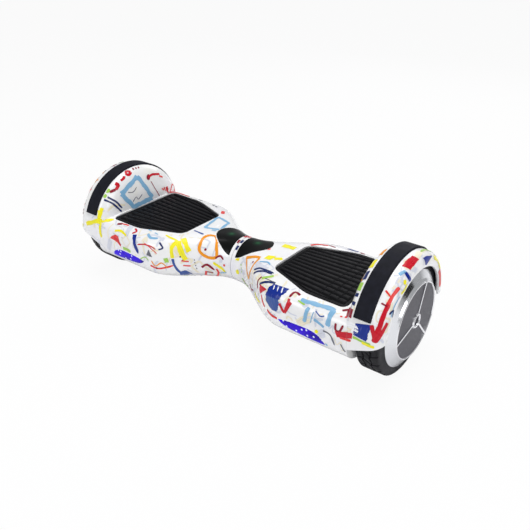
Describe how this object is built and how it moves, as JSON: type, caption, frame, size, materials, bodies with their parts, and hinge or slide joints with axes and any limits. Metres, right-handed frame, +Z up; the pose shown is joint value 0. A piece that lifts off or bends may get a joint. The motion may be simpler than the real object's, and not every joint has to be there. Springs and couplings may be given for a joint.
{
  "type": "self-balancing scooter",
  "caption": "Two-wheel self-balancing board: two twisting half bodies with ribbed foot mats, hub-motor wheels under rubber-faced arches, and lit front lenses.",
  "frame": {"origin": "on the floor under the board's middle, halfway between the wheels", "axes": "+X along the board to the right wheel, -Y to the front with the headlights, +Z up"},
  "size_m": [0.584, 0.186, 0.178],
  "materials": {
    "shell": "glossy white moulded shell with a printed hand-drawn pattern",
    "light_lens": "clear moulded lens lit from behind, blue-violet",
    "smoked_lens": "dark smoked lens",
    "strip_rubber": "matt moulded rubber",
    "mat_rubber": "ribbed moulded rubber",
    "tread": "solid rubber tyre",
    "rim_metal": "turned and polished",
    "cast_metal": "as cast",
    "cap_plastic": "fine satin grain",
    "bright_trim": "bright plated",
    "steel": "machined",
    "black_screw": "blackened",
    "core": "laminated steel with copper end turns",
    "magnet": "nickel plated",
    "bronze": "sintered",
    "board": "green circuit board",
    "sensor": "moulded black",
    "cable": "cable sheath",
    "pack_wrap": "shrink wrap",
    "black_fitting": "moulded black",
    "button": "satin silver"
  },
  "bodies": {
    "left_half": {"top_cover_left": "shell", "bottom_cover_left": "shell", "headlight_lens_left": "light_lens", "indicator_lens_left": "smoked_lens", "cover_screws_left": "black_screw", "fender_strip_left": "strip_rubber", "frame_left": "cast_metal", "axle_clamp_left": "cast_metal", "clamp_screws_left": "black_screw", "motor_axle_left": "steel", "wound_stator_left": "core", "foot_sensors_left": "sensor", "balance_board_left": "board", "headlight_board_left": "board", "indicator_board_left": "board", "motor_cable_left": "cable", "battery_pack": "pack_wrap", "battery_bracket": "steel", "centre_shaft": "steel", "stop_pin": "steel", "shaft_circlip": "steel", "centre_loom": "cable"},
    "right_half": {"top_cover_right": "shell", "bottom_cover_right": "shell", "headlight_lens_right": "light_lens", "indicator_lens_right": "smoked_lens", "cover_screws_right": "black_screw", "fender_strip_right": "strip_rubber", "frame_right": "cast_metal", "axle_clamp_right": "cast_metal", "clamp_screws_right": "black_screw", "motor_axle_right": "steel", "wound_stator_right": "core", "foot_sensors_right": "sensor", "balance_board_right": "board", "headlight_board_right": "board", "indicator_board_right": "board", "motor_cable_right": "cable", "shaft_bushes": "bronze", "main_board": "board", "charge_port": "black_fitting", "power_switch": "black_fitting"},
    "left_wheel": {"tyre_left": "tread", "rim_left": "rim_metal", "motor_end_cover_left": "cast_metal", "wheel_bearings_left": "steel", "rotor_magnets_left": "magnet", "hub_cap_left": "cap_plastic", "hub_trim_left": "bright_trim"},
    "right_wheel": {"tyre_right": "tread", "rim_right": "rim_metal", "motor_end_cover_right": "cast_metal", "wheel_bearings_right": "steel", "rotor_magnets_right": "magnet", "hub_cap_right": "cap_plastic", "hub_trim_right": "bright_trim"},
    "foot_pad_left": {"foot_mat_left": "mat_rubber"},
    "foot_pad_right": {"foot_mat_right": "mat_rubber"},
    "power_button": {"power_button": "button"},
    "port_flap": {"port_flap": "cable"}
  },
  "joints": [
    {"name": "twist", "type": "hinge", "parent": "left_half", "child": "right_half", "pos_m": [0, 0, 0.0825], "axis": [1, 0, 0], "range_deg": [-12, 12]},
    {"name": "left_wheel_spin", "type": "hinge", "parent": "left_half", "child": "left_wheel", "pos_m": [-0.265, 0, 0.0825], "axis": [1, 0, 0], "continuous": true},
    {"name": "right_wheel_spin", "type": "hinge", "parent": "right_half", "child": "right_wheel", "pos_m": [0.265, 0, 0.0825], "axis": [1, 0, 0], "continuous": true},
    {"name": "foot_pad_left_press", "type": "slide", "parent": "left_half", "child": "foot_pad_left", "axis": [0, 0, -1], "range_m": [0, 0.0012], "stiffness_N_per_m": 8000, "springref_m": -0.0003},
    {"name": "foot_pad_right_press", "type": "slide", "parent": "right_half", "child": "foot_pad_right", "axis": [0, 0, -1], "range_m": [0, 0.0012], "stiffness_N_per_m": 8000, "springref_m": -0.0003},
    {"name": "power_button_press", "type": "slide", "parent": "right_half", "child": "power_button", "axis": [0, -1, 0], "range_m": [0, 0.0015], "stiffness_N_per_m": 800, "springref_m": -0.0005},
    {"name": "port_flap_open", "type": "hinge", "parent": "right_half", "child": "port_flap", "pos_m": [0.176, 0.088, 0.0418], "axis": [-1, 0, 0], "range_deg": [0, 100], "stiffness_Nm_per_rad": 0.01, "springref_deg": -22.92}
  ]
}
